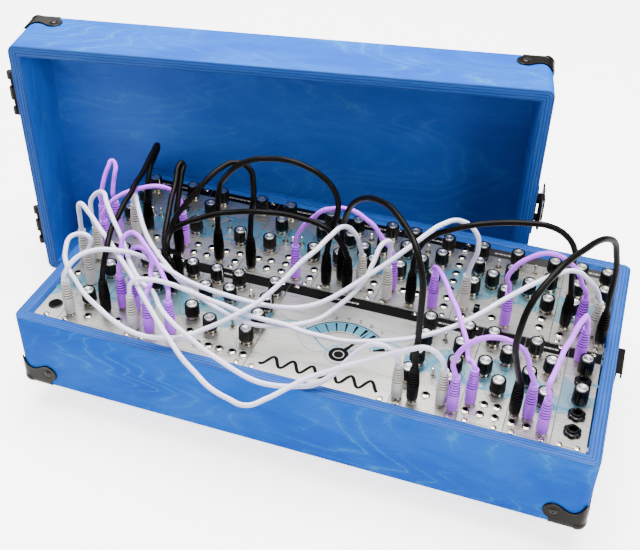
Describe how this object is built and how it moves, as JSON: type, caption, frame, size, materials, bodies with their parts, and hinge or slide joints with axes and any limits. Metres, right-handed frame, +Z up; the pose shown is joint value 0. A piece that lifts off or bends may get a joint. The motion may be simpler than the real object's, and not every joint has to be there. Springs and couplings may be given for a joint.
{
  "type": "modular synthesizer",
  "caption": "Modular synthesizer in a stained plywood case, two rows of modules joined by patch cords, with its lift-off lid standing behind it.",
  "frame": {"origin": "on the surface that the feet stand on, under the middle of the box around case and lid, cords aside", "axes": "+X to the right of the case seen from the front, +Y towards its back, +Z up"},
  "size_m": [0.677, 0.4171, 0.2943],
  "materials": {
    "stained_plywood": "blue stained plywood, satin",
    "black_steel": "black lacquered steel",
    "rubber": "black rubber",
    "module_panel": "silver anodised panel with black and pale blue printing",
    "rail": "extruded aluminium",
    "circuit_board": "green circuit board",
    "knob": "dark plastic with a spun metal cap",
    "button": "black plastic",
    "lever": "plated steel",
    "white_cord": "off-white flexible sheath",
    "black_cord": "black flexible sheath",
    "violet_cord": "violet flexible sheath"
  },
  "bodies": {
    "case": {"case_box": "stained_plywood", "front_left_ball_corner": "black_steel", "front_right_ball_corner": "black_steel", "rear_left_ball_corner": "black_steel", "rear_right_ball_corner": "black_steel", "front_hook_plate": "black_steel", "rear_hook_plate": "black_steel", "latch_keeper": "black_steel", "front_left_foot": "rubber", "front_right_foot": "rubber", "rear_left_foot": "rubber", "rear_right_foot": "rubber", "rear_module_a": "module_panel", "rear_module_b": "module_panel", "rear_module_c": "module_panel", "rear_module_d": "module_panel", "rear_module_e": "module_panel", "rear_module_f": "module_panel", "rear_module_g": "module_panel", "front_module_a": "module_panel", "front_module_b": "module_panel", "front_module_c": "module_panel", "front_module_d": "module_panel", "front_module_e": "module_panel", "front_module_f": "module_panel", "front_module_g": "module_panel", "front_module_h": "module_panel", "front_rail": "rail", "middle_rail": "rail", "rear_rail": "rail", "power_bus_board": "circuit_board", "white_cord_front": "white_cord", "white_cord_second": "white_cord", "white_cord_third": "white_cord", "white_cord_loop": "white_cord", "white_cord_long": "white_cord", "white_cord_middle": "white_cord", "black_cord_arch": "black_cord", "black_cord_high": "black_cord", "black_cord_centre": "black_cord", "black_cord_wide": "black_cord", "black_cord_right": "black_cord", "violet_cord_rear": "violet_cord", "violet_cord_arch": "violet_cord", "violet_cord_right": "violet_cord"},
    "lid": {"lid_shell": "stained_plywood", "lid_rest_pad": "rubber", "lower_hinge_bracket": "black_steel", "upper_hinge_bracket": "black_steel", "latch_plate": "black_steel", "lid_lower_left_ball_corner": "black_steel", "lid_lower_right_ball_corner": "black_steel", "lid_upper_left_ball_corner": "black_steel", "lid_upper_right_ball_corner": "black_steel"},
    "latch_lever": {"latch_lever": "black_steel"},
    "latch_loop": {"latch_loop": "black_steel"},
    "output_knob_1": {"output_knob_1": "knob"},
    "output_knob_2": {"output_knob_2": "knob"},
    "trigger_button": {"trigger_button": "button"},
    "toggle_lever": {"toggle_lever": "lever"}
  },
  "joints": [
    {"name": "lid_slide", "type": "slide", "parent": "case", "child": "lid", "axis": [-0.181, 0.9835, 0], "range_m": [0, 0.25]},
    {"name": "latch_lever_lift", "type": "hinge", "parent": "lid", "child": "latch_lever", "pos_m": [0.22665, 0.12357, 0.1473], "axis": [0, 0, -1], "range_deg": [0, 95]},
    {"name": "latch_loop_swing", "type": "hinge", "parent": "latch_lever", "child": "latch_loop", "pos_m": [0.22529, 0.13094, 0.1473], "axis": [0, 0, -1], "range_deg": [-95, 0]},
    {"name": "output_knob_1_turn", "type": "hinge", "parent": "case", "child": "output_knob_1", "pos_m": [0.30499, -0.07202, 0.112], "axis": [0, 0, 1], "range_deg": [-150, 150]},
    {"name": "output_knob_2_turn", "type": "hinge", "parent": "case", "child": "output_knob_2", "pos_m": [0.30499, -0.11198, 0.112], "axis": [0, 0, 1], "range_deg": [-150, 150]},
    {"name": "trigger_button_press", "type": "slide", "parent": "case", "child": "trigger_button", "axis": [0, 0, -1], "range_m": [0, 0.0015], "stiffness_N_per_m": 300},
    {"name": "toggle_lever_throw", "type": "hinge", "parent": "case", "child": "toggle_lever", "pos_m": [0.20095, 0.05502, 0.112], "axis": [1, 0, 0], "range_deg": [-12, 12]}
  ],
  "couplings": [
    {"joint": "latch_loop_swing", "follows": "latch_lever_lift", "ratio": -1}
  ]
}
